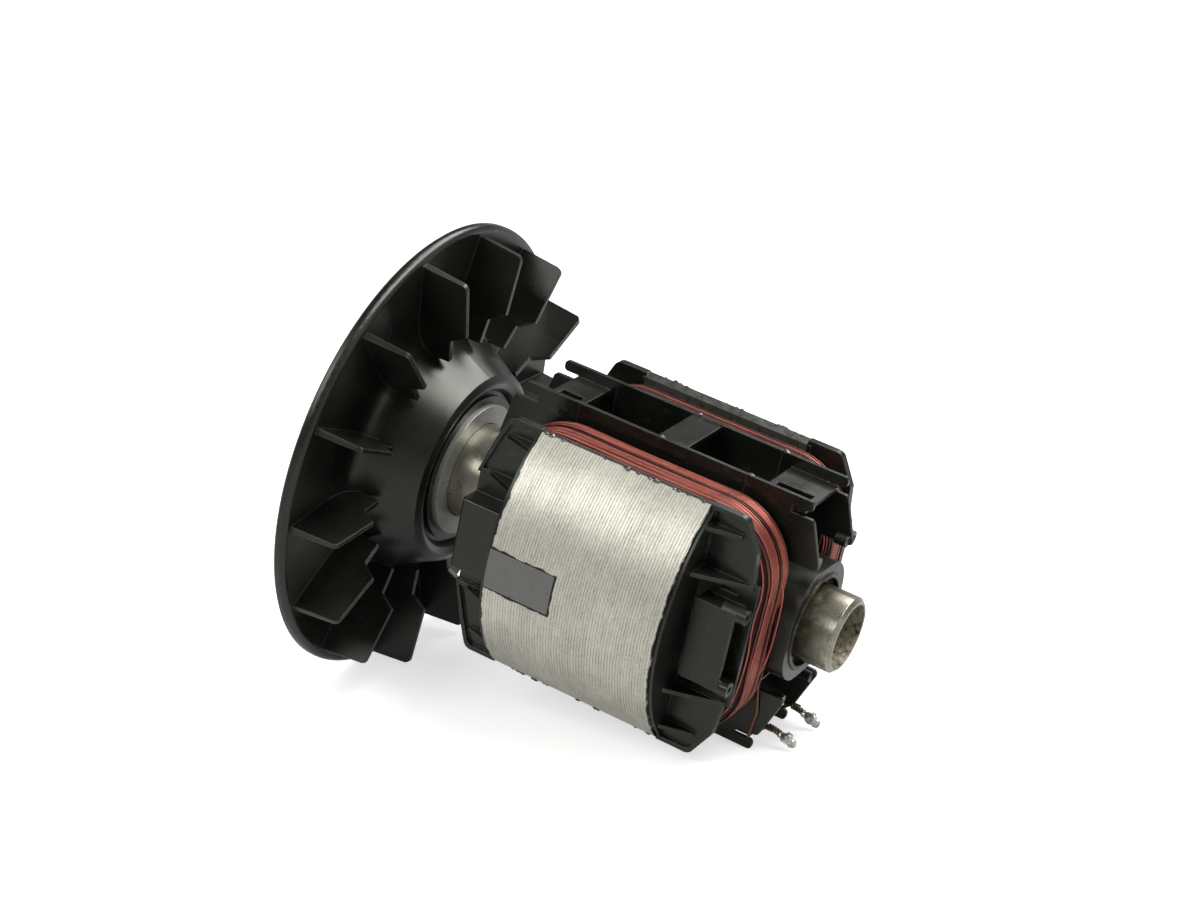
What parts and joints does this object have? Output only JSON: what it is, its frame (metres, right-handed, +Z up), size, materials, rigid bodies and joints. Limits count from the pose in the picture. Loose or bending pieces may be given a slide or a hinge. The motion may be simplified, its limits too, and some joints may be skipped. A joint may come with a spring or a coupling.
{
  "type": "generator rotor",
  "caption": "Salient-pole generator rotor: wound laminated poles on a hollow shaft, with a bladed cooling fan at the drive end and a bearing seat at the free end.",
  "frame": {"origin": "centre of the footprint, on the surface that the rotor lies on", "axes": "+Z up; +X towards the shaft's free end, which lies lower than the fan; pole 1 faces -Y; the shaft axis is in the XZ plane, 13.2 degrees below +X"},
  "size_m": [0.1756, 0.1526, 0.1489],
  "materials": {
    "shaft_steel": "turned steel, dull, with a used bearing seat",
    "bush_steel": "turned steel, dull",
    "fan_plastic": "satin black moulding",
    "lamination_steel": "ground edges of thin sheets, matt grey",
    "magnet_ferrite": "dark sintered ferrite, matt",
    "frame_plastic": "satin black moulding",
    "liner_film": "thin black insulating film",
    "enamelled_copper": "copper wire with glossy red-brown enamel",
    "diode_body": "black moulded body with tinned leads",
    "solder": "dull tin solder over twisted wire"
  },
  "bodies": {
    "root": {"rotor_shaft": "shaft_steel", "fan_bush": "bush_steel", "cooling_fan": "fan_plastic", "lamination_stack": "lamination_steel", "pole_magnet_1": "magnet_ferrite", "pole_magnet_2": "magnet_ferrite", "slot_channel_upper": "frame_plastic", "slot_channel_lower": "frame_plastic", "end_frame_fan_side": "frame_plastic", "end_frame_free_side": "frame_plastic", "coil_pole_1": "enamelled_copper", "coil_pole_2": "enamelled_copper", "slot_liner_1_upper": "liner_film", "slot_liner_1_lower": "liner_film", "slot_liner_2_upper": "liner_film", "slot_liner_2_lower": "liner_film", "rectifier_diode": "diode_body", "solder_pigtail_1": "solder", "solder_pigtail_2": "solder", "winding_lead_1": "enamelled_copper", "winding_lead_2": "enamelled_copper", "series_link": "enamelled_copper"}
  },
  "joints": []
}
